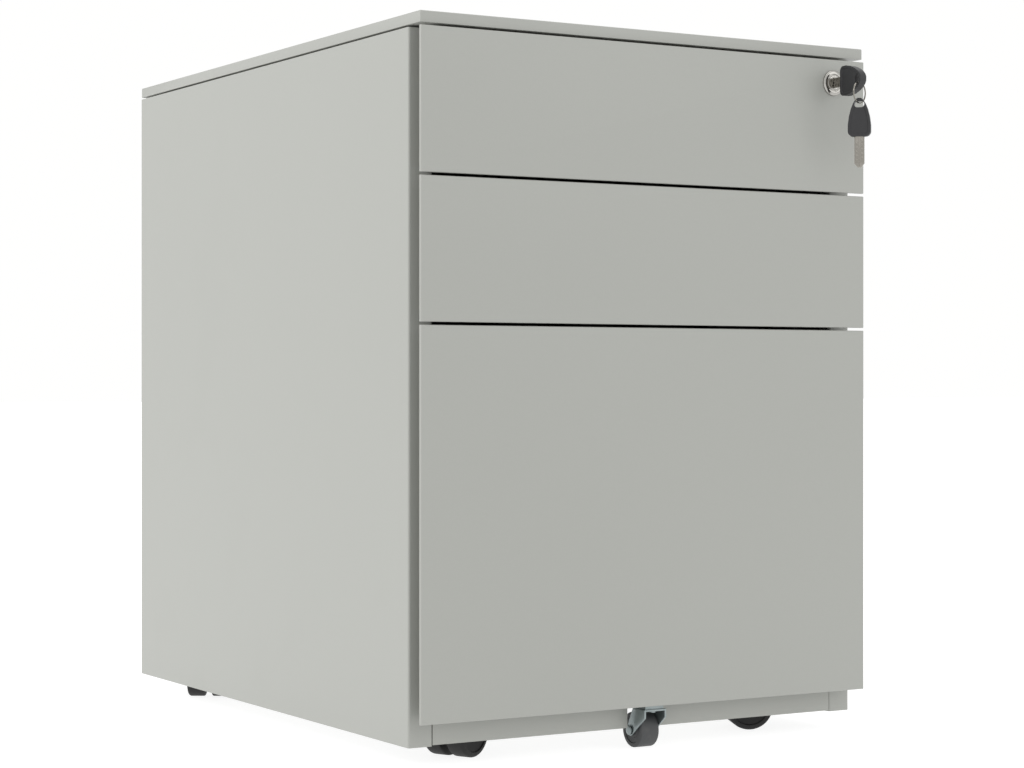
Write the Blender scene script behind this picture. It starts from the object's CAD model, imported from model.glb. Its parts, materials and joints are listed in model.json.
"""Mobile steel pedestal: finishes, shaped pieces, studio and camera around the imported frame."""
import json
import logging
import math
from dataclasses import dataclass, field
from enum import Enum
from typing import Any, Callable, Iterable, Sequence

import bmesh
import bpy
from mathutils import Matrix, Vector


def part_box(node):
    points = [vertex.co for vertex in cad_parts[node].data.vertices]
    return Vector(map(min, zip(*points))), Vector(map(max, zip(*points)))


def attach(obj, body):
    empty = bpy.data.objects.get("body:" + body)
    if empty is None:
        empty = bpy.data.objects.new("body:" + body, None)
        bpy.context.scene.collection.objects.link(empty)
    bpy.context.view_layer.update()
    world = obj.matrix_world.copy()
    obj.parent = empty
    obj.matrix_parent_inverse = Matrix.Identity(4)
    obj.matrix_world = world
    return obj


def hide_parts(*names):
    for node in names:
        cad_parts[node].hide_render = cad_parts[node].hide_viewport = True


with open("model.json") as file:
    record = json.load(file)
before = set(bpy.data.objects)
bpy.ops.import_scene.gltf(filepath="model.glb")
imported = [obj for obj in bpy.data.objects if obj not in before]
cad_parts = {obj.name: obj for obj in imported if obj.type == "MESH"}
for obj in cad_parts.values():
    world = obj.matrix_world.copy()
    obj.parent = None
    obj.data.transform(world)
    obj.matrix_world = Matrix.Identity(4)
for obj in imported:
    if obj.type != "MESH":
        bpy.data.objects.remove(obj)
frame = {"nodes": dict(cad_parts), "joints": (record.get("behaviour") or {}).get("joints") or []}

log = logging.getLogger("pedestal")
MM = 0.001
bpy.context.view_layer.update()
NODES: dict[str, bpy.types.Object] = frame["nodes"]
JOINTS: dict[str, dict[str, Any]] = {joint["name"]: joint for joint in frame["joints"]}
X_AXIS, Y_AXIS, Z_AXIS = Vector((1, 0, 0)), Vector((0, 1, 0)), Vector((0, 0, 1))


class Drawer(Enum):
    """The drawers, from the top down."""

    UPPER = "upper_drawer"
    MIDDLE = "middle_drawer"
    FILE = "file_drawer"


class Corner(Enum):
    """The corners that carry a castor."""

    FRONT_LEFT = "front_left"
    FRONT_RIGHT = "front_right"
    REAR_LEFT = "rear_left"
    REAR_RIGHT = "rear_right"


# ---- Shader benches -------------------------------------------------------------------------


class Flow:
    """A shader value that can be used in Python expressions."""

    def __init__(self, bench: "Bench", socket: bpy.types.NodeSocket) -> None:
        """Wraps a socket.

        Args:
            bench: The bench whose tree holds the socket.
            socket: The output socket.
        """
        self.bench = bench
        self.socket = socket

    def _maths(self, operation: str, second: Any) -> "Flow":
        """Adds a Math node that works on this value.

        Args:
            operation: The Math node's operation.
            second: The other value or link.

        Returns:
            The result.
        """
        return self.bench.node("ShaderNodeMath", {"operation": operation}, {0: self, 1: second})

    def __add__(self, other: Any) -> "Flow":
        """Returns self + other."""
        return self._maths("ADD", other)

    def __sub__(self, other: Any) -> "Flow":
        """Returns self - other."""
        return self._maths("SUBTRACT", other)

    def __mul__(self, other: Any) -> "Flow":
        """Returns self * other."""
        return self._maths("MULTIPLY", other)


class Bench:
    """The node tree of one material, with its principled shader."""

    def __init__(self, name: str) -> None:
        """Starts a material.

        Args:
            name: The material's name.
        """
        self.material = bpy.data.materials.new(name)
        self.material.use_nodes = True
        self.tree = self.material.node_tree
        self.tree.nodes.clear()
        self.shader = self.tree.nodes.new("ShaderNodeBsdfPrincipled")
        output = self.tree.nodes.new("ShaderNodeOutputMaterial")
        self.tree.links.new(self.shader.outputs["BSDF"], output.inputs["Surface"])

    def node(self, kind: str, settings: dict[str, Any], inputs: dict[Any, Any], output: Any = 0) -> Flow:
        """Adds any node.

        Args:
            kind: The node's type.
            settings: Its properties, set before its sockets.
            inputs: Values or links by socket name or number.
            output: The output socket's name or number.

        Returns:
            The chosen output.
        """
        node = self.tree.nodes.new(kind)
        for key, value in settings.items():
            setattr(node, key, value)
        for key, value in inputs.items():
            self._feed(node.inputs[key], value)
        return Flow(self, node.outputs[output])

    def _feed(self, socket: bpy.types.NodeSocket, value: Any) -> None:
        """Sets a socket to a value, or links a Flow to it."""
        if isinstance(value, Flow):
            self.tree.links.new(value.socket, socket)
        else:
            socket.default_value = value

    def place(self, stretch: Sequence[float] = (1, 1, 1)) -> Flow:
        """Returns object coordinates, stretched along the row's axes."""
        where = self.node("ShaderNodeTexCoord", {}, {}, "Object")
        return self.node("ShaderNodeMapping", {}, {"Vector": where, "Scale": tuple(stretch)})

    def noise(self, size: float, detail: float = 2.0, stretch: Sequence[float] = (1, 1, 1)) -> Flow:
        """Adds noise.

        Args:
            size: The size of its features, in metres.
            detail: How many finer layers it has.
            stretch: How it is stretched along the axes.

        Returns:
            The noise, about 0.5.
        """
        inputs = {"Vector": self.place(stretch), "Scale": 1.0 / size, "Detail": detail, "Roughness": 0.55}
        return self.node("ShaderNodeTexNoise", {}, inputs, "Fac")

    def ramp(self, value: Flow, start: float, end: float) -> Flow:
        """Returns a value that climbs from 0 to 1 between two levels."""
        settings = {"interpolation_type": "LINEAR", "clamp": True}
        return self.node("ShaderNodeMapRange", settings, {"Value": value, "From Min": start, "From Max": end})

    def blend(self, factor: Any, first: Any, second: Any, mode: str = "MIX") -> Flow:
        """Mixes two colours.

        Args:
            factor: How much of the second colour.
            first: The first colour or link.
            second: The second colour or link.
            mode: The way in which they mix.

        Returns:
            The mixed colour.
        """
        first, second = (c if isinstance(c, Flow) else (*c, 1.0) for c in (first, second))
        settings = {"data_type": "RGBA", "blend_type": mode}
        return self.node("ShaderNodeMix", settings, {"Factor": factor, 6: first, 7: second}, 2)

    def bump(self, height: Flow, distance: float, strength: float = 1.0) -> Flow:
        """Returns a normal that follows a height, in metres."""
        return self.node("ShaderNodeBump", {}, {"Height": height, "Distance": distance, "Strength": strength})

    def finish(self, **sockets: Any) -> bpy.types.Material:
        """Sets the principled shader's sockets.

        Args:
            **sockets: Values or links, with _ for a space in the socket's name.

        Returns:
            The material.
        """
        for key, value in sockets.items():
            self._feed(self.shader.inputs[key.replace("_", " ")], value)
        return self.material


# ---- Finishes -------------------------------------------------------------------------------


@dataclass(frozen=True)
class PowderCoat:
    """Satin powder coat with a fine orange peel and faint handling marks."""

    name: str
    colour: tuple[float, float, float]
    roughness: float = 0.42
    peel: float = 1.1 * MM
    mottle: float = 0.05

    def material(self) -> bpy.types.Material:
        """Returns the finish as a material."""
        bench = Bench(self.name)
        cloud = bench.noise(0.32, 3.0)
        grain = bench.noise(0.7 * MM, 1.0)
        smudge = bench.ramp(bench.noise(0.09, 4.0), 0.52, 0.74)
        dark = tuple(c * (1 - self.mottle) for c in self.colour)
        light = tuple(min(1.0, c * (1 + self.mottle)) for c in self.colour)
        base = bench.blend(cloud, dark, light)
        speck = bench.blend((grain - 0.5) * 0.22 + 0.06, base, tuple(c * 0.72 for c in self.colour))
        rough = cloud * 0.08 + smudge * 0.05 + (self.roughness - 0.05)
        peel = bench.noise(self.peel, 1.5)
        return bench.finish(Base_Color=speck, Roughness=rough, Normal=bench.bump(peel, 0.03 * MM, 0.5))


@dataclass(frozen=True)
class ZincPlate:
    """Bright zinc plate with a bluish, blotchy passivation and drawn streaks."""

    name: str
    colour: tuple[float, float, float] = (0.33, 0.365, 0.37)
    tint: tuple[float, float, float] = (0.2, 0.24, 0.24)
    roughness: float = 0.34

    def material(self) -> bpy.types.Material:
        """Returns the finish as a material."""
        bench = Bench(self.name)
        blotch = bench.noise(9 * MM, 4.0)
        streak = bench.noise(1.4 * MM, 2.0, (1, 0.05, 1))
        base = bench.blend(blotch, self.colour, self.tint)
        rough = blotch * 0.16 + streak * 0.12 + (self.roughness - 0.12)
        return bench.finish(
            Base_Color=base, Metallic=0.9, Roughness=rough, Normal=bench.bump(streak, 0.02 * MM, 0.4)
        )


@dataclass(frozen=True)
class Nickel:
    """Polished or brushed nickel with hairline marks."""

    name: str
    colour: tuple[float, float, float]
    roughness: float = 0.1
    brushed: tuple[float, float, float] = (1, 1, 1)
    line: float = 0.5 * MM

    def material(self) -> bpy.types.Material:
        """Returns the finish as a material."""
        bench = Bench(self.name)
        hair = bench.noise(self.line, 3.0, self.brushed)
        haze = bench.noise(4 * MM, 3.0)
        base = bench.blend(haze * 0.5, self.colour, tuple(c * 0.8 for c in self.colour))
        rough = hair * 0.1 + haze * 0.08 + (self.roughness - 0.06)
        return bench.finish(
            Base_Color=base, Metallic=1.0, Roughness=rough, Normal=bench.bump(hair, 0.01 * MM, 0.5)
        )


@dataclass(frozen=True)
class Moulding:
    """Moulded plastic or rubber with a spark-eroded grain and dusty scuffs."""

    name: str
    colour: tuple[float, float, float]
    dust: tuple[float, float, float]
    roughness: float = 0.45
    grain: float = 0.35 * MM
    dusty: float = 0.25

    def material(self) -> bpy.types.Material:
        """Returns the finish as a material."""
        bench = Bench(self.name)
        grain = bench.noise(self.grain, 2.0)
        cloud = bench.noise(7 * MM, 4.0)
        scuff = bench.ramp(cloud, 0.5, 0.8)
        base = bench.blend(scuff * self.dusty, self.colour, self.dust)
        rough = cloud * 0.12 + grain * 0.08 + (self.roughness - 0.08)
        return bench.finish(Base_Color=base, Roughness=rough, Normal=bench.bump(grain, 0.03 * MM, 0.5))


class Finish(Enum):
    """The finishes on the pedestal, by the record's slot."""

    LIGHT_GREY = PowderCoat("light_grey", (0.345, 0.351, 0.327), mottle=0.025)
    INNER_GREY = PowderCoat("inner_grey", (0.28, 0.287, 0.265), roughness=0.5)
    ZINC = ZincPlate("zinc")
    CHROME = Nickel("chrome", (0.42, 0.41, 0.385))
    KEY_STEEL = Nickel("key_steel", (0.3, 0.285, 0.255), 0.2, (1, 0.06, 0.06), 0.3 * MM)
    KEY_PLASTIC = Moulding("key_plastic", (0.018, 0.018, 0.02), (0.04, 0.04, 0.04), 0.5)
    CASTOR_BLACK = Moulding("castor_black", (0.003, 0.003, 0.003), (0.02, 0.019, 0.018), 0.62)
    WHEEL_GREY = Moulding("wheel_grey", (0.05, 0.052, 0.054), (0.1, 0.097, 0.093), 0.6, dusty=0.4)

    @property
    def slot(self) -> str:
        """The slot's name in the record."""
        return self.value.name


MATERIALS: dict[Finish, bpy.types.Material] = {}


def dress(piece: bpy.types.Object, finish: Finish) -> None:
    """Gives a piece its finish.

    Args:
        piece: The piece or CAD node.
        finish: The finish.
    """
    if finish not in MATERIALS:
        MATERIALS[finish] = finish.value.material()
    piece.data.materials.clear()
    piece.data.materials.append(MATERIALS[finish])


# ---- Workpieces -----------------------------------------------------------------------------


class Workpiece:
    """A mesh that is shaped step by step with the edit-mode tools."""

    def __init__(self, name: str) -> None:
        """Takes the primitive that was just added.

        Args:
            name: The piece's name.
        """
        self.piece = bpy.context.active_object
        self.piece.name = name
        self.piece.data.name = name
        self.settle()

    @classmethod
    def block(cls, name: str, low: Vector, high: Vector) -> "Workpiece":
        """Starts from a block.

        Args:
            name: The piece's name.
            low: Its lowest corner.
            high: Its highest corner.

        Returns:
            The workpiece.
        """
        deselect()
        bpy.ops.mesh.primitive_cube_add(size=1, location=(low + high) / 2, scale=high - low)
        return cls(name)

    @classmethod
    def rod(cls, name: str, start: Vector, along: Vector, radius: float, sides: int = 64,
            ends: str = "NGON") -> "Workpiece":
        """Starts from a rod.

        Args:
            name: The piece's name.
            start: The centre of its first end.
            along: From there to the other end.
            radius: Its radius.
            sides: Its number of sides.
            ends: How its ends are filled.

        Returns:
            The workpiece.
        """
        deselect()
        turn = along.to_track_quat("Z", "Y").to_euler()
        bpy.ops.mesh.primitive_cylinder_add(
            vertices=sides, radius=radius, depth=along.length, location=start + along / 2, rotation=turn,
            end_fill_type=ends,
        )
        return cls(name)

    @classmethod
    def hoop(cls, name: str, major: float, minor: float) -> "Workpiece":
        """Starts from a wire hoop about the Z axis."""
        deselect()
        bpy.ops.mesh.primitive_torus_add(
            major_radius=major, minor_radius=minor, major_segments=96, minor_segments=12
        )
        return cls(name)

    def settle(self) -> "Workpiece":
        """Applies the object's place to its mesh."""
        deselect(self.piece)
        bpy.ops.object.transform_apply(location=True, rotation=True, scale=True)
        return self

    def pick(self, kind: str, test: Callable[[Any], bool]) -> None:
        """Selects parts of the mesh in edit mode.

        Args:
            kind: VERT, EDGE or FACE.
            test: Says whether an element is taken.
        """
        deselect(self.piece)
        if bpy.context.mode != "EDIT_MESH":
            bpy.ops.object.mode_set(mode="EDIT")
        kinds = ("VERT", "EDGE", "FACE")
        bpy.context.tool_settings.mesh_select_mode = tuple(k == kind for k in kinds)
        shape = bmesh.from_edit_mesh(self.piece.data)
        groups = (shape.verts, shape.edges, shape.faces)
        for group in groups:
            for element in group:
                element.select = False
        for element in groups[kinds.index(kind)]:
            if test(element):
                element.select_set(True)
        shape.select_flush_mode()
        bmesh.update_edit_mesh(self.piece.data)

    def leave(self) -> "Workpiece":
        """Returns to object mode."""
        if bpy.context.mode == "EDIT_MESH":
            bpy.ops.object.mode_set(mode="OBJECT")
        return self

    def sink(self, test: Callable[[Any], bool], *steps: tuple[float, float]) -> "Workpiece":
        """Insets the picked faces step by step.

        Args:
            test: Says which faces.
            *steps: The inset and the push along the normal of each step.

        Returns:
            The workpiece.
        """
        self.pick("FACE", test)
        for inset, push in steps:
            bpy.ops.mesh.inset(thickness=inset, depth=push, use_boundary=True, use_even_offset=True)
        return self.leave()

    def push(self, test: Callable[[Any], bool], offset: Vector) -> "Workpiece":
        """Extrudes the picked faces by an offset."""
        self.pick("FACE", test)
        bpy.ops.mesh.extrude_region_move(TRANSFORM_OT_translate={"value": tuple(offset)})
        return self.leave()

    def cut(self, point: Vector, normal: Vector, clear: bool = False, fill: bool = False) -> "Workpiece":
        """Cuts the mesh along a plane.

        Args:
            point: A point on the plane.
            normal: The plane's normal.
            clear: Whether what lies beyond the plane is removed.
            fill: Whether the cut is closed.

        Returns:
            The workpiece.
        """
        self.pick("FACE", lambda f: True)
        bpy.ops.mesh.bisect(
            plane_co=tuple(point), plane_no=tuple(normal), clear_outer=clear, use_fill=fill, threshold=1e-7
        )
        return self.leave()

    def round_edges(self, test: Callable[[Any], bool], width: float, steps: int = 3) -> "Workpiece":
        """Bevels the picked edges."""
        self.pick("EDGE", test)
        bpy.ops.mesh.bevel(offset=width, segments=steps, affect="EDGES", clamp_overlap=True)
        return self.leave()

    def widen(self, test: Callable[[Any], bool], scale: Sequence[float], centre: Vector) -> "Workpiece":
        """Scales the picked points about a centre."""
        self.pick("VERT", test)
        bpy.ops.transform.resize(value=tuple(scale), center_override=tuple(centre))
        return self.leave()

    def modify(self, kind: str, **settings: Any) -> "Workpiece":
        """Adds a modifier and applies it.

        Args:
            kind: The modifier's type.
            **settings: Its settings.

        Returns:
            The workpiece.
        """
        deselect(self.piece)
        modifier = self.piece.modifiers.new(kind.title(), kind)
        for key, value in settings.items():
            setattr(modifier, key, value)
        bpy.ops.object.modifier_apply(modifier=modifier.name)
        return self

    def soften(self, width: float, steps: int = 2, angle: float = 35.0) -> "Workpiece":
        """Bevels every edge sharper than an angle in degrees."""
        return self.modify(
            "BEVEL", width=width, segments=steps, limit_method="ANGLE", angle_limit=math.radians(angle),
            harden_normals=False,
        )

    def carve(self, *tools: "Workpiece") -> "Workpiece":
        """Takes the tools' shapes out of the piece."""
        for tool in tools:
            self.modify("BOOLEAN", operation="DIFFERENCE", solver="EXACT", object=tool.piece)
            bpy.data.objects.remove(tool.piece)
        return self

    def join(self, *others: "Workpiece") -> "Workpiece":
        """Joins other workpieces to this one."""
        deselect(self.piece)
        for other in others:
            other.piece.select_set(True)
        bpy.ops.object.join()
        return self

    def clean(self) -> "Workpiece":
        """Merges doubles and points every face outwards."""
        self.pick("FACE", lambda f: True)
        bpy.ops.mesh.remove_doubles(threshold=1e-6)
        bpy.ops.mesh.normals_make_consistent(inside=False)
        return self.leave()

    def move(self, matrix: Matrix) -> "Workpiece":
        """Moves the mesh by a matrix."""
        self.piece.matrix_world = matrix
        return self.settle()

    def copy(self, name: str, matrix: Matrix) -> "Workpiece":
        """Copies the piece with its own mesh.

        Args:
            name: The copy's name.
            matrix: The move from this piece to the copy.

        Returns:
            The copy.
        """
        deselect(self.piece)
        bpy.ops.object.duplicate(linked=False)
        return Workpiece(name).move(matrix)

    def fit(self, body: str, finish: Finish, replaced: Iterable[str] = (), angle: float = 30.0) -> None:
        """Finishes the piece and mounts it.

        Args:
            body: The body it rides on.
            finish: Its finish.
            replaced: The CAD nodes that it stands for.
            angle: Edges under this angle, in degrees, shade smooth.
        """
        deselect(self.piece)
        bpy.ops.object.shade_smooth_by_angle(angle=math.radians(angle))
        dress(self.piece, finish)
        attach(self.piece, body)
        if replaced:
            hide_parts(*replaced)
        log.info("%s: %d faces on %s", self.piece.name, len(self.piece.data.polygons), body)


def deselect(keep: bpy.types.Object | None = None) -> None:
    """Deselects everything, and makes one object active.

    Args:
        keep: The object that is selected and active, if any.
    """
    if bpy.context.mode != "OBJECT":
        if keep is not None and keep == bpy.context.active_object:
            return
        bpy.ops.object.mode_set(mode="OBJECT")
    for thing in bpy.context.selected_objects:
        thing.select_set(False)
    if keep is not None:
        keep.select_set(True)
        bpy.context.view_layer.objects.active = keep


def facing(direction: Vector) -> Callable[[Any], bool]:
    """Returns a test for faces that look in a direction."""
    return lambda face: face.normal.dot(direction) > 0.95


# ---- Carcass --------------------------------------------------------------------------------


@dataclass
class Carcass:
    """The folded body and its top."""

    edge_radius: float = 0.9 * MM
    fold_radius: float = 0.35 * MM
    flange: float = 14 * MM
    sheet: float = 1 * MM
    near: float = 0.1 * MM
    painted: tuple[str, ...] = ("left_side", "right_side", "back_panel", "front_rail")
    inner: tuple[str, ...] = ("roof_plate", "base_pan")
    plated: tuple[str, ...] = (
        "left_uprights", "right_uprights", "castor_plates", "top_screws", "lock_bar", "lock_bar_guides",
    )

    def build_top(self) -> None:
        """Folds the top panel as a shallow pan with round edges."""
        low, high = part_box("top_panel")
        top = Workpiece.block("top_cover", low, high)
        top.sink(facing(-Z_AXIS), (self.flange, 0.0))
        below = low.z + self.near
        depth = high.z - low.z - self.sheet
        edge = self.flange / 2

        def well(face: Any) -> bool:
            """Says whether a face is the middle of the underside."""
            centre = face.calc_center_median()
            inside = abs(centre.x) < high.x - edge and low.y + edge < centre.y < high.y - edge
            return centre.z < below and inside

        top.push(well, Vector((0, 0, depth)))
        top.round_edges(lambda e: min(v.co.z for v in e.verts) > high.z - self.near, self.edge_radius, 4)
        top.soften(self.fold_radius)
        top.fit("cabinet", Finish.LIGHT_GREY, ["top_panel"])

    def dress(self) -> None:
        """Gives the body's CAD nodes their finishes."""
        for names, finish in (
            (self.painted, Finish.LIGHT_GREY), (self.inner, Finish.INNER_GREY), (self.plated, Finish.ZINC),
        ):
            for name in names:
                dress(NODES[name], finish)


# ---- Drawers --------------------------------------------------------------------------------


@dataclass
class DrawerUnit:
    """One drawer: its outer skin, liner, tray and slides."""

    kind: Drawer
    sheet: float = 1 * MM
    tray_sheet: float = 0.8 * MM
    edge_radius: float = 1.1 * MM
    skin_fold: float = 0.22 * MM
    tray_fold: float = 0.25 * MM
    rim: float = 3.2 * MM
    barrel_radius: float = 9.1 * MM
    hole_depth: float = 10 * MM
    least_panel: float = 0.01
    near: float = 0.1 * MM

    def build_skin(self) -> None:
        """Folds the outer skin: a face with a short lip all round."""
        name = self.kind.value
        low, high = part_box(f"{name}_front")
        skin = Workpiece.block(f"{name}_skin", low, high)
        skin.sink(facing(Y_AXIS), (self.sheet, 0.0))
        skin.push(
            lambda f: facing(Y_AXIS)(f) and f.calc_area() > self.least_panel,
            Vector((0, low.y + self.sheet - high.y, 0)),
        )
        front = low.y + self.near
        skin.round_edges(
            lambda e: max(v.co.y for v in e.verts) < front and self._on_rim(e, low, high), self.edge_radius, 4
        )
        skin.soften(self.skin_fold)
        if self.kind is Drawer.UPPER:
            lock = Vector(JOINTS["plug_turn"]["pos_m"])
            through = self.hole_depth * Y_AXIS
            skin.carve(Workpiece.rod("lock_hole", lock - through / 2, through, self.barrel_radius))
        skin.fit(name, Finish.LIGHT_GREY, [f"{name}_front"])

    @staticmethod
    def _on_rim(edge: Any, low: Vector, high: Vector) -> bool:
        """Says whether an edge lies on the outline of the face."""
        near = 0.05 * MM
        for axis in (0, 2):
            for limit in (low[axis], high[axis]):
                if all(abs(v.co[axis] - limit) < near for v in edge.verts):
                    return True
        return False

    def build_tray(self) -> None:
        """Folds the tray as an open box with soft rims."""
        name = self.kind.value
        low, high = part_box(f"{name}_tray")
        tray = Workpiece.block(f"{name}_box", low, high)
        tray.sink(facing(Z_AXIS), (self.tray_sheet, 0.0))
        tray.push(
            lambda f: facing(Z_AXIS)(f) and f.calc_area() > self.least_panel,
            Vector((0, 0, low.z - high.z + self.tray_sheet)),
        )
        reach = high.x - self.tray_sheet - self.near
        level = high.z - self.tray_sheet
        tray.cut(Vector((0, 0, level)), Z_AXIS)
        for side in (-1, 1):

            def inner_band(face: Any, sign: int = side) -> bool:
                """Says whether a face is the inner band at the top of one side wall."""
                centre = face.calc_center_median()
                return face.normal.x * sign < -0.95 and centre.z > level and centre.x * sign > reach

            tray.push(inner_band, Vector((-side * self.rim, 0, 0)))
        tray.soften(self.tray_fold)
        tray.fit(name, Finish.INNER_GREY, [f"{name}_tray"])

    def dress(self) -> None:
        """Gives the drawer's CAD nodes their finishes."""
        name = self.kind.value
        dress(NODES[f"{name}_liner"], Finish.LIGHT_GREY)
        for part in ("cabinet_slides", "middle_slides", "drawer_slides"):
            dress(NODES[f"{name}_{part}"], Finish.ZINC)
        if self.kind is Drawer.FILE:
            dress(NODES["file_rails"], Finish.ZINC)


# ---- Lock and keys --------------------------------------------------------------------------


@dataclass
class CamLock:
    """The lock in the upper drawer's front."""

    flange_radius: float = 10.5 * MM
    barrel_radius: float = 8.9 * MM
    bore_radius: float = 6.25 * MM
    plug_radius: float = 6.15 * MM
    flange_rim: float = 0.7 * MM
    plug_lip: float = 0.35 * MM
    slot: tuple[float, float, float] = (2.7 * MM, 21 * MM, 8.5 * MM)
    dome: tuple[tuple[float, float], ...] = (
        (0.12 * MM, 0.45 * MM), (0.3 * MM, 0.4 * MM), (0.5 * MM, 0.32 * MM), (0.7 * MM, 0.22 * MM),
        (1.6 * MM, 0.08 * MM), (0.2 * MM, -0.05 * MM), (0.35 * MM, -0.6 * MM),
    )
    plug_face: tuple[tuple[float, float], ...] = (
        (0.25 * MM, 0.3 * MM), (0.9 * MM, 0.05 * MM), (0.3 * MM, -0.3 * MM),
    )
    axis: Vector = field(default_factory=lambda: Vector(JOINTS["plug_turn"]["pos_m"]))

    def build_housing(self) -> None:
        """Turns the barrel with its domed flange."""
        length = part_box("lock_housing")[1].y - self.axis.y
        barrel = Workpiece.rod("lock_barrel", self.axis, length * Y_AXIS, self.barrel_radius, 96)
        flange = Workpiece.rod("lock_flange", self.axis, -self.flange_rim * Y_AXIS, self.flange_radius, 96)
        flange.sink(facing(-Y_AXIS), *self.dome)
        bore = Workpiece.rod(
            "lock_bore", self.axis - 6 * MM * Y_AXIS, 40 * MM * Y_AXIS, self.bore_radius, 96
        )
        for part in (barrel, flange):
            cutter = bore.copy("bore_cutter", Matrix.Identity(4))
            part.carve(cutter)
        bpy.data.objects.remove(bore.piece)
        barrel.join(flange)
        barrel.fit(Drawer.UPPER.value, Finish.CHROME, ["lock_housing"])

    def build_plug(self) -> None:
        """Turns the plug, with a chamfered face and the keyway through it."""
        low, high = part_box("lock_plug")
        face = Vector((self.axis.x, low.y + self.plug_lip, self.axis.z))
        plug = Workpiece.rod("lock_core", face, (high.y - face.y) * Y_AXIS, self.plug_radius, 96)
        plug.sink(facing(-Y_AXIS), *self.plug_face)
        width, depth, height = self.slot
        mouth = Vector((width / 2, 0, height / 2))
        start = Vector((self.axis.x, low.y - MM, self.axis.z)) - mouth
        plug.carve(Workpiece.block("keyway", start, start + 2 * mouth + depth * Y_AXIS))
        plug.fit("plug", Finish.CHROME, ["lock_plug"])

    def dress(self) -> None:
        """Gives the small lock parts their finishes."""
        for name in ("lock_nut", "lock_cam", "cam_screw"):
            dress(NODES[name], Finish.ZINC)


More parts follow.
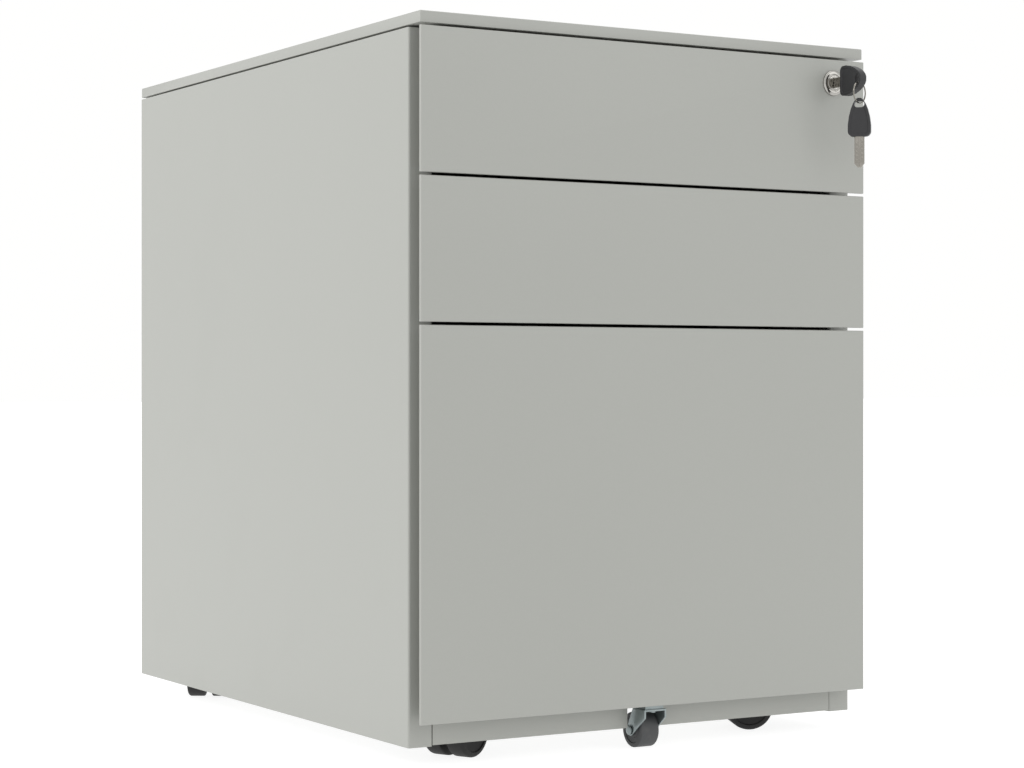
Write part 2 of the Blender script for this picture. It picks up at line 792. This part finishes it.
@dataclass
class KeySet:
    """The key in the lock, the split ring and the spare key that hangs on it."""

    head: tuple[float, float] = (26.6 * MM, 24.4 * MM)
    spare_head: tuple[float, float] = (31.2 * MM, 18.4 * MM)
    head_thickness: float = 6 * MM
    hole_inset: float = 5 * MM
    hole_radius: float = 2.6 * MM
    hole_reach: float = 1.6 * MM
    shoulder: float = 12.9 * MM
    shoulder_radius: float = 4.2 * MM
    head_rim: tuple[tuple[float, float], ...] = (
        (0.7 * MM, 0.0), (1.3 * MM, 0.0), (0.35 * MM, -0.45 * MM),
    )
    head_edge: float = 0.45 * MM
    blade_width: float = 8 * MM
    blade_thickness: float = 2.2 * MM
    blade_length: float = 25 * MM
    tang: float = 9.9 * MM
    point: float = 3 * MM
    point_scale: tuple[float, float, float] = (0.38, 1, 0.6)
    groove: tuple[float, float] = (0.5 * MM, 0.45 * MM)
    pit_row: float = 2.2 * MM
    pit_start: float = 4 * MM
    pit_step: float = 3.4 * MM
    pit_stagger: float = 1.8 * MM
    pit_radii: tuple[float, float] = (0.8 * MM, 0.95 * MM)
    wire: float = 0.42 * MM
    spare_turn: float = 45.0
    spare_drop: float = 1 * MM
    outline: tuple[tuple[float, float], ...] = (
        (0.3, 1.0), (0.52, 0.9), (0.72, 0.73), (0.87, 0.52), (0.96, 0.32), (1.0, 0.14),
    )

    def _head(self, name: str, length: float, width: float) -> Workpiece:
        """Shapes a key head in the XY plane, from its shoulder at y = 0.

        Args:
            name: The piece's name.
            length: Its length.
            width: Its width at the shoulder.

        Returns:
            The head.
        """
        half = Vector((width / 2, 0, self.head_thickness / 2))
        head = Workpiece.block(name, -half, half + length * Y_AXIS)
        for place, _ in self.outline[:-1]:
            head.cut(place * length * Y_AXIS, Y_AXIS)
        for place, scale in self.outline:
            level = place * length
            head.widen(lambda v, y=level: abs(v.co.y - y) < 0.01 * MM, (scale, 1, 1), Vector((0, level, 0)))
        head.round_edges(lambda e: all(v.co.y < 0.01 * MM for v in e.verts) and
                         abs(e.verts[0].co.z - e.verts[1].co.z) > MM, self.shoulder_radius, 6)
        for side in (-1, 1):
            head.sink(facing(side * Z_AXIS), *self.head_rim)
        bottom = Vector((0, length - self.hole_inset, -self.head_thickness))
        through = 2 * self.head_thickness * Z_AXIS
        reach = self.hole_reach * X_AXIS
        tools = [
            Workpiece.rod("ring_hole", bottom + side * reach, through, self.hole_radius, 48)
            for side in (-1, 1)
        ]
        corner = reach + self.hole_radius * Y_AXIS
        tools.append(Workpiece.block("ring_slot", bottom - corner, bottom + corner + through))
        head.carve(*tools)
        return head.soften(self.head_edge, 3, 50)

    def _blade(self, name: str) -> Workpiece:
        """Shapes a dimple-cut blade in the XY plane, pointing along -y from the shoulder.

        Args:
            name: The piece's name.

        Returns:
            The blade.
        """
        half = Vector((self.blade_width / 2, 0, self.blade_thickness / 2))
        tip = -self.blade_length * Y_AXIS
        blade = Workpiece.block(name, tip - half, half + self.tang * Y_AXIS)
        blade.cut(tip + self.point * Y_AXIS, Y_AXIS)
        blade.widen(lambda v: v.co.y < tip.y + 0.01 * MM, self.point_scale, tip)
        width, depth = self.groove
        tools = []
        for side in (-1, 1):
            face = side * half.z
            groove_low = Vector((-width, tip.y + MM, face - depth))
            tools.append(Workpiece.block("groove", groove_low, Vector((width, 0, face + depth))))
            for row, offset in ((-1, 0.0), (1, self.pit_stagger)):
                for step in range(5):
                    along = -self.pit_start - offset - step * self.pit_step
                    pit = Vector((row * self.pit_row, along, face - side * 0.5 * MM))
                    radius = self.pit_radii[step % 2]
                    tools.append(Workpiece.rod("pit", pit, side * MM * Z_AXIS, radius, 20))
        blade.carve(*tools)
        return blade.soften(0.12 * MM, 2, 50)

    def _lock_frame(self) -> Matrix:
        """Returns the move from the XY plane to the key in the lock."""
        lock = Vector(JOINTS["plug_turn"]["pos_m"]) - self.shoulder * Y_AXIS
        turn = Matrix.Rotation(math.radians(90), 4, "Y") @ Matrix.Rotation(math.pi, 4, "Z")
        return Matrix.Translation(lock) @ turn

    def _spare_frame(self) -> Matrix:
        """Returns the move from the XY plane to the key that hangs on the ring."""
        hole = Vector(JOINTS["spare_key_swing"]["pos_m"]) - self.spare_drop * Z_AXIS
        turn = (
            Matrix.Rotation(math.radians(self.spare_turn), 4, "Z")
            @ Matrix.Rotation(math.radians(90), 4, "Y")
            @ Matrix.Rotation(math.radians(90), 4, "Z")
        )
        back = Matrix.Translation((0, self.hole_inset - self.spare_head[0], 0))
        return Matrix.Translation(hole) @ turn @ back

    def build(self) -> None:
        """Makes both keys and hangs the spare one on the ring."""
        for name, size, place in (
            ("key", self.head, self._lock_frame()), ("spare_key", self.spare_head, self._spare_frame()),
        ):
            self._head(f"{name}_grip", *size).move(place).fit(name, Finish.KEY_PLASTIC, [f"{name}_head"])
            self._blade(f"{name}_shank").move(place).fit(name, Finish.KEY_STEEL, [f"{name}_blade"])

    def build_ring(self) -> None:
        """Winds the split ring as two turns of wire that lie side by side."""
        low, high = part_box("key_ring")
        wire = self.wire
        radius = (high.z - low.z) / 2 - 0.6 * MM
        swing = JOINTS["ring_swing"]
        centre = Vector(swing["pos_m"]) - radius * Z_AXIS
        across = Vector(swing["axis"]).cross(Z_AXIS)
        turn = across.to_track_quat("Z", "Y").to_matrix().to_4x4()
        ring = Workpiece.hoop("split_ring", radius, wire)
        ring.move(Matrix.Translation(centre + across * wire * 0.45) @ turn)
        second = ring.copy("second_turn", Matrix.Translation(-across * wire * 0.9))
        ring.join(second)
        ring.fit("ring", Finish.KEY_STEEL, ["key_ring"], 60.0)


# ---- Castors --------------------------------------------------------------------------------


@dataclass
class Castor:
    """A twin-wheel castor under one corner."""

    corner: Corner
    wheel_radius: float = 20 * MM
    wheel_width: float = 15 * MM
    pitch: float = 22 * MM
    gap: float = 1.2 * MM
    cover: float = 1.8 * MM
    tread_edge: float = 2.6 * MM
    inner_edge: float = 1.2 * MM
    dish: tuple[tuple[float, float], ...] = (
        (1.4 * MM, 0.0), (0.5 * MM, -0.9 * MM), (7.5 * MM, -0.5 * MM), (0.4 * MM, 1.1 * MM),
        (1.6 * MM, 0.2 * MM),
    )
    slope: tuple[float, float] = (0.62, -0.79)
    web: float = 4.4 * MM
    web_drop: float = 5 * MM
    boss_radius: float = 8 * MM
    boss_depth: float = 12 * MM
    boss_height: float = 4 * MM
    stem: float = 7.5 * MM

    def __post_init__(self) -> None:
        """Reads the swivel and roll axes from the frame."""
        name = self.corner.value
        self.hub = Vector(JOINTS[f"{name}_roll"]["pos_m"])
        self.pivot = Vector(JOINTS[f"{name}_swivel"]["pos_m"])
        self.across = Vector(JOINTS[f"{name}_roll"]["axis"]).normalized()

    def build_wheels(self) -> None:
        """Turns both wheels, with round treads and dished faces."""
        name = self.corner.value
        wheels = [self._wheel(f"{name}_wheel_{side}", sign) for side, sign in (("inner", -1), ("outer", 1))]
        wheels[0].join(wheels[1])
        wheels[0].piece.name = f"{name}_twin_wheels"
        wheels[0].fit(f"{name}_rollers", Finish.CASTOR_BLACK, [f"{name}_castor_wheels"])

    def _wheel(self, name: str, sign: int) -> Workpiece:
        """Turns one wheel.

        Args:
            name: The piece's name.
            sign: 1 or -1, its side along the axle.

        Returns:
            The wheel.
        """
        out = sign * self.across
        start = self.hub + out * (self.pitch - self.wheel_width) / 2
        wheel = Workpiece.rod(name, start, out * self.wheel_width, self.wheel_radius, 72)
        outer = facing(out)
        wheel.round_edges(lambda e: any(outer(f) for f in e.link_faces), self.tread_edge, 4)
        wheel.round_edges(lambda e: any(facing(-out)(f) for f in e.link_faces), self.inner_edge, 3)
        wheel.sink(lambda f: outer(f) and f.calc_area() > 1e-4, *self.dish)
        return wheel

    def build_hood(self) -> None:
        """Shapes the half-round cover with its web, boss and stem."""
        name = self.corner.value
        trail = Vector((self.hub.x - self.pivot.x, self.hub.y - self.pivot.y, 0)).normalized()
        span = self.pitch + self.wheel_width
        radius = self.wheel_radius + self.gap + self.cover
        start = self.hub - self.across * span / 2
        shell = Workpiece.rod("hood_shell", start, self.across * span, radius, 96, "NOTHING")
        shell.cut(self.hub, -Z_AXIS, clear=True)
        forward, down = self.slope
        shell.cut(self.hub, trail * forward + Z_AXIS * down, clear=True)
        shell.modify("SOLIDIFY", thickness=self.cover, offset=-1.0 if self._outward(shell) else 1.0)
        shell.soften(0.4 * MM)
        side = self.across * self.web / 2
        web = Workpiece.rod("hood_web", self.hub - side, 2 * side, radius - MM, 72)
        web.cut(self.hub - self.web_drop * Z_AXIS, -Z_AXIS, clear=True, fill=True)
        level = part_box(f"{name}_castor_hood")[1].z - self.boss_depth
        foot = Vector((self.pivot.x, self.pivot.y, level))
        boss = Workpiece.rod("hood_boss", foot, self.boss_height * Z_AXIS, self.boss_radius, 48)
        boss.sink(facing(Z_AXIS), (0.6 * MM, 0.3 * MM), (2.4 * MM, 0.0))
        head = level + self.boss_height
        boss.push(
            lambda f: facing(Z_AXIS)(f) and f.calc_center_median().z > head, self.stem * Z_AXIS
        )
        shell.join(web, boss)
        shell.piece.name = f"{name}_hood"
        shell.clean()
        shell.fit(f"{name}_castor", Finish.CASTOR_BLACK, [f"{name}_castor_hood"])

    def _outward(self, shell: Workpiece) -> bool:
        """Says whether the shell's faces look away from the axle."""
        face = shell.piece.data.polygons[0]
        return (face.center - self.hub).dot(face.normal) > 0

    def dress(self) -> None:
        """Gives the axle its finish."""
        dress(NODES[f"{self.corner.value}_castor_axle"], Finish.ZINC)


@dataclass
class AntiTiltCastor:
    """The small castor under the front of the file drawer."""

    plate: float = 1.6 * MM
    front_edge: float = 6.8 * MM
    top_edge: float = 17.1 * MM
    eye_radius: float = 4.7 * MM
    eye_steps: int = 12
    fork_fold: float = 0.4 * MM
    tread_edge: float = 1 * MM
    hub_ring: tuple[tuple[float, float], ...] = (
        (2.2 * MM, 0.0), (0.4 * MM, -0.8 * MM), (3.6 * MM, 0.0), (0.4 * MM, 0.8 * MM),
    )
    rivet_radius: float = 2.48 * MM
    rivet_head: float = 4 * MM
    rivet_margin: float = 0.8 * MM
    rivet_rim: float = 0.25 * MM
    rivet_dome: tuple[tuple[float, float], ...] = ((0.7 * MM, 0.3 * MM), (1.3 * MM, 0.2 * MM))

    def __post_init__(self) -> None:
        """Reads the axle's place from the frame."""
        self.hub = Vector(JOINTS["fifth_roll"]["pos_m"])
        self.low, self.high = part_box("fifth_fork")

    def build_fork(self) -> None:
        """Folds the fork from plate: two cheeks that taper to the axle, and the web between them."""
        middle = (self.low + self.high).x / 2 * X_AXIS
        low, high = self.low - middle, self.high - middle
        cheek = Workpiece.block("fork_cheek", low, Vector((low.x + self.plate, high.y, high.z)))
        first = self._tangent(Vector((0, low.y, high.z - self.front_edge)), 1)
        last = self._tangent(Vector((0, low.y + self.top_edge, high.z)), -1) + 2 * math.pi
        for step in range(self.eye_steps + 1):
            angle = first + (last - first) * step / self.eye_steps
            out = Vector((0, math.cos(angle), math.sin(angle)))
            cheek.cut(self.hub + out * self.eye_radius, out, clear=True, fill=True)
        cheek.cut(Vector((0, low.y, high.z - self.plate)), Z_AXIS)
        cheek.push(
            lambda f: facing(X_AXIS)(f) and f.calc_center_median().z > high.z - self.plate,
            Vector((-low.x - self.plate, 0, 0)),
        )
        cheek.modify("MIRROR", use_axis=(True, False, False), use_clip=True, merge_threshold=0.01 * MM)
        half = self.plate / 2
        cheek.pick("FACE", lambda f: abs(f.normal.x) > 0.95 and abs(f.calc_center_median().x) < half)
        bpy.ops.mesh.delete(type="FACE")
        cheek.leave()
        cheek.clean()
        cheek.soften(self.fork_fold, 3, 40)
        cheek.move(Matrix.Translation(middle))
        cheek.fit(Drawer.FILE.value, Finish.ZINC, ["fifth_fork"])

    def _tangent(self, start: Vector, side: int) -> float:
        """Finds the straight edge from a corner of the cheek to its round eye.

        Args:
            start: The corner.
            side: 1 or -1, the side of the eye that the edge meets.

        Returns:
            The angle of the edge's outward normal, in radians.
        """
        away = start - self.hub
        reach = math.hypot(away.y, away.z)
        return math.atan2(away.z, away.y) + side * math.acos(self.eye_radius / reach)

    def build_wheel(self) -> None:
        """Turns the solid wheel, with a flat tread and a hub ring on each face."""
        low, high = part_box("fifth_wheel")
        radius = (high.z - low.z) / 2
        start = Vector((low.x, self.hub.y, self.hub.z))
        wheel = Workpiece.rod("fifth_roller_wheel", start, (high.x - low.x) * X_AXIS, radius, 96)
        wheel.round_edges(lambda e: any(abs(f.normal.x) > 0.95 for f in e.link_faces), self.tread_edge, 4)
        for side in (-1, 1):
            wheel.sink(
                lambda f, s=side: f.normal.x * s > 0.95 and f.calc_area() > 1e-5, *self.hub_ring
            )
        wheel.fit("fifth_roller", Finish.WHEEL_GREY, ["fifth_wheel"])

    def build_axle(self) -> None:
        """Turns the rivet that holds the wheel, with a domed head at each end."""
        low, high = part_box("fifth_axle")
        start = Vector((low.x + self.rivet_margin, self.hub.y, self.hub.z))
        along = (high.x - low.x - 2 * self.rivet_margin) * X_AXIS
        rivet = Workpiece.rod("fifth_rivet", start, along, self.rivet_radius, 48)
        for side, end in ((-1, start), (1, start + along)):
            head = Workpiece.rod("rivet_head", end, side * self.rivet_rim * X_AXIS, self.rivet_head, 48)
            head.sink(facing(side * X_AXIS), *self.rivet_dome)
            rivet.join(head)
        rivet.fit(Drawer.FILE.value, Finish.ZINC, ["fifth_axle"])

    def dress(self) -> None:
        """Gives the fork's pad and screws their finish."""
        for name in ("fork_pad", "fork_screws"):
            dress(NODES[name], Finish.ZINC)


# ---- Studio ---------------------------------------------------------------------------------


@dataclass
class Studio:
    """Pale floor, soft light and the camera at the height of a person who crouches."""

    lens: float = 83.64
    shift: float = -0.00234
    sensor: float = 36.0
    eye: Vector = field(
        default_factory=lambda: Vector((-1.04745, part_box("upper_drawer_front")[0].y - 1.55638, 0.29026))
    )
    yaw: float = 30.5
    floor_tone: float = 0.25
    floor_glow: float = 0.88

    def build_floor(self) -> None:
        """Lays the floor, a pale sheet lit from below."""
        deselect()
        bpy.ops.mesh.primitive_plane_add(size=60, location=(0, 0, 0))
        floor = bpy.context.active_object
        floor.name = "floor"
        bench = Bench("floor")
        tone = bench.noise(0.8, 2.0) * 0.01 + self.floor_tone
        colour = bench.node("ShaderNodeCombineColor", {}, {0: tone, 1: tone, 2: tone})
        floor.data.materials.append(bench.finish(
            Base_Color=colour, Roughness=0.9, Emission_Color=(1, 1, 1, 1), Emission_Strength=self.floor_glow
        ))

    def build_light(self) -> None:
        """Hangs the soft boxes and sets the pale surroundings."""
        world = bpy.data.worlds.new("surroundings")
        bpy.context.scene.world = world
        world.use_nodes = True
        backdrop = world.node_tree.nodes["Background"]
        backdrop.inputs["Color"].default_value = (1.0, 1.0, 0.995, 1.0)
        backdrop.inputs["Strength"].default_value = 1.0
        self._soft_box("left_box", Vector((-2.8, 0.7, 1.4)), 2.0, 30)
        self._soft_box("front_box", Vector((1.6, -3.0, 1.7)), 1.8, 10)
        self._soft_box("top_box", Vector((0.2, 0.3, 2.8)), 2.4, 22)

    @staticmethod
    def _soft_box(name: str, place: Vector, size: float, power: float) -> None:
        """Hangs one soft box that looks at the middle of the pedestal.

        Args:
            name: The light's name.
            place: Where it hangs.
            size: Its side.
            power: Its power in watts.
        """
        data = bpy.data.lights.new(name, "AREA")
        data.shape, data.size, data.energy = "SQUARE", size, power
        light = bpy.data.objects.new(name, data)
        light.location = place
        light.rotation_euler = (Vector((0, 0, 0.3)) - place).to_track_quat("-Z", "Y").to_euler()
        bpy.context.scene.collection.objects.link(light)

    def build_camera(self) -> None:
        """Stands the camera level, to the left of the pedestal's front."""
        data = bpy.data.cameras.new("camera")
        data.sensor_width = self.sensor
        data.lens = self.lens
        data.shift_y = self.shift
        data.clip_start, data.clip_end = 0.01, 100
        camera = bpy.data.objects.new("camera", data)
        camera.location = self.eye
        camera.rotation_euler = (math.radians(90), 0, -math.radians(self.yaw))
        bpy.context.scene.collection.objects.link(camera)
        bpy.context.scene.camera = camera


# ---- Assembly -------------------------------------------------------------------------------


def write_sizes() -> None:
    """Writes the CAD box and the visual model's box."""
    bpy.context.view_layer.update()


def main() -> None:
    """Builds the pedestal from the floor up, and reports each piece."""
    logging.basicConfig(level=logging.INFO, format="%(name)s: %(message)s")
    bpy.context.scene.view_settings.view_transform = "Standard"
    studio = Studio()
    studio.build_camera()
    studio.build_floor()
    studio.build_light()
    carcass = Carcass()
    carcass.dress()
    carcass.build_top()
    for kind in Drawer:
        unit = DrawerUnit(kind)
        unit.dress()
        unit.build_skin()
        unit.build_tray()
    lock = CamLock()
    lock.dress()
    lock.build_housing()
    lock.build_plug()
    keys = KeySet()
    keys.build()
    keys.build_ring()
    for corner in Corner:
        castor = Castor(corner)
        castor.dress()
        castor.build_hood()
        castor.build_wheels()
    fifth = AntiTiltCastor()
    fifth.dress()
    fifth.build_fork()
    fifth.build_wheel()
    fifth.build_axle()
    write_sizes()


if __name__ == "__main__":
    main()
